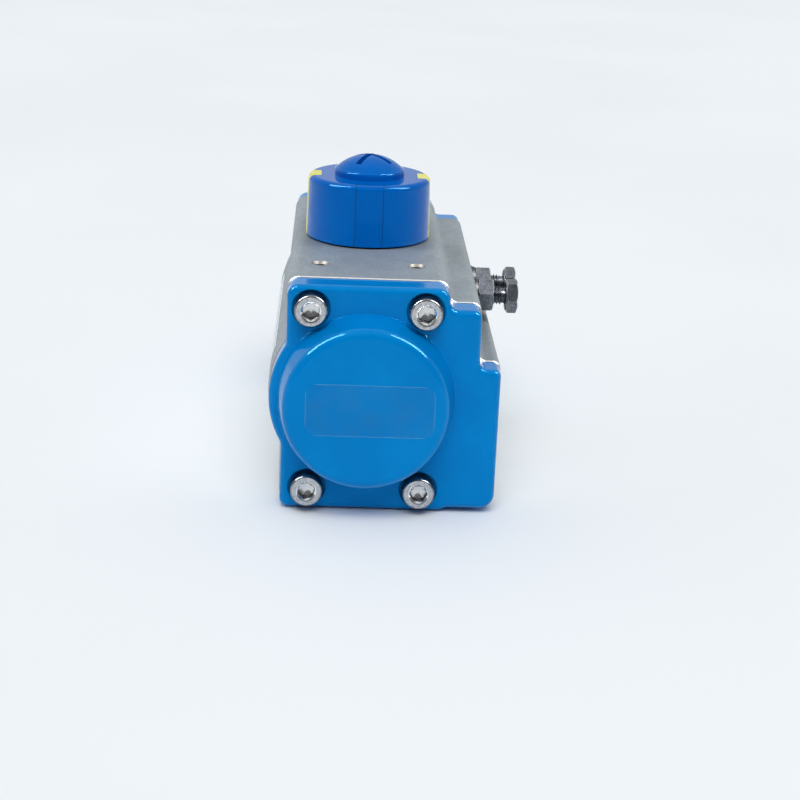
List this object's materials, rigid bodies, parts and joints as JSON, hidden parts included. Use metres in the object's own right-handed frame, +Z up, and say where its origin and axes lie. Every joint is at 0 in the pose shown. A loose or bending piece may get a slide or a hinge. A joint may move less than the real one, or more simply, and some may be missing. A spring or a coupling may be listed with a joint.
{
  "type": "rotary pneumatic actuator",
  "caption": "Rack-and-pinion quarter-turn pneumatic actuator with stepped extruded housing, domed end caps, slotted position indicator on top and a star drive socket below.",
  "frame": {"origin": "on the drive shaft's axis at the bottom mounting face", "axes": "+Z up along the drive shaft, +Y along the cylinder, +X towards the air ports and stop bolts"},
  "size_m": [0.0808, 0.1535, 0.0989],
  "materials": {
    "housing_aluminium": "bead blasted, hard anodised",
    "cap_blue": "gloss powder coat over die cast aluminium",
    "stainless": "polished stainless steel",
    "stop_stainless": "satin stainless steel",
    "nameplate_foil": "satin foil, blank",
    "label_clear": "clear gloss film, blank",
    "shaft_steel": "nickel plated carbon steel",
    "cam_steel": "machined steel",
    "spring_steel": "oiled spring steel",
    "bearing_plastic": "natural acetal",
    "seal_rubber": "nitrile rubber",
    "piston_aluminium": "die cast, anodised",
    "indicator_blue": "glossy moulded plastic",
    "indicator_yellow": "glossy moulded plastic"
  },
  "bodies": {
    "housing": {"body": "housing_aluminium", "nameplate": "nameplate_foil", "cap_label": "label_clear", "shaft_bushing_top": "bearing_plastic", "thrust_bearing": "bearing_plastic", "end_cap_near": "cap_blue", "end_cap_seal_near": "seal_rubber", "end_cap_screws_near": "stainless", "stop_nut_near": "stop_stainless", "stop_washer_near": "stainless", "stop_seal_near": "seal_rubber", "end_cap_far": "cap_blue", "end_cap_seal_far": "seal_rubber", "end_cap_screws_far": "stainless", "stop_nut_far": "stop_stainless", "stop_washer_far": "stainless", "stop_seal_far": "seal_rubber"},
    "shaft": {"drive_shaft": "shaft_steel", "stop_cam": "cam_steel", "shaft_guide_ring_bottom": "bearing_plastic", "shaft_o_ring_bottom": "seal_rubber", "shaft_o_ring_top": "seal_rubber", "thrust_washer": "stainless", "snap_ring": "spring_steel", "indicator_body": "indicator_blue", "indicator_stripes": "indicator_yellow", "indicator_inserts": "indicator_blue", "indicator_screw": "indicator_blue"},
    "piston_near": {"piston_near": "piston_aluminium", "piston_guide_ring_near": "bearing_plastic", "piston_o_ring_near": "seal_rubber", "thrust_shoe_near": "bearing_plastic"},
    "stop_bolt_near": {"stop_bolt_near": "stop_stainless"},
    "piston_far": {"piston_far": "piston_aluminium", "piston_guide_ring_far": "bearing_plastic", "piston_o_ring_far": "seal_rubber", "thrust_shoe_far": "bearing_plastic"},
    "stop_bolt_far": {"stop_bolt_far": "stop_stainless"}
  },
  "joints": [
    {"name": "drive_shaft_turn", "type": "hinge", "parent": "housing", "child": "shaft", "pos_m": [0, 0, 0.036], "axis": [0, 0, 1], "range_deg": [0, 90]},
    {"name": "piston_far_slide", "type": "slide", "parent": "housing", "child": "piston_far", "axis": [0, 1, 0], "range_m": [0, 0.01414]},
    {"name": "piston_near_slide", "type": "slide", "parent": "housing", "child": "piston_near", "axis": [0, -1, 0], "range_m": [0, 0.01414]},
    {"name": "stop_bolt_near_adjust", "type": "slide", "parent": "housing", "child": "stop_bolt_near", "axis": [1, 0, 0], "range_m": [0, 0.0014]},
    {"name": "stop_bolt_far_adjust", "type": "slide", "parent": "housing", "child": "stop_bolt_far", "axis": [1, 0, 0], "range_m": [0, 0.0014]}
  ],
  "couplings": [
    {"joint": "drive_shaft_turn", "follows": "piston_far_slide", "rad_per_m": 111.11},
    {"joint": "piston_near_slide", "follows": "piston_far_slide", "ratio": 1}
  ]
}
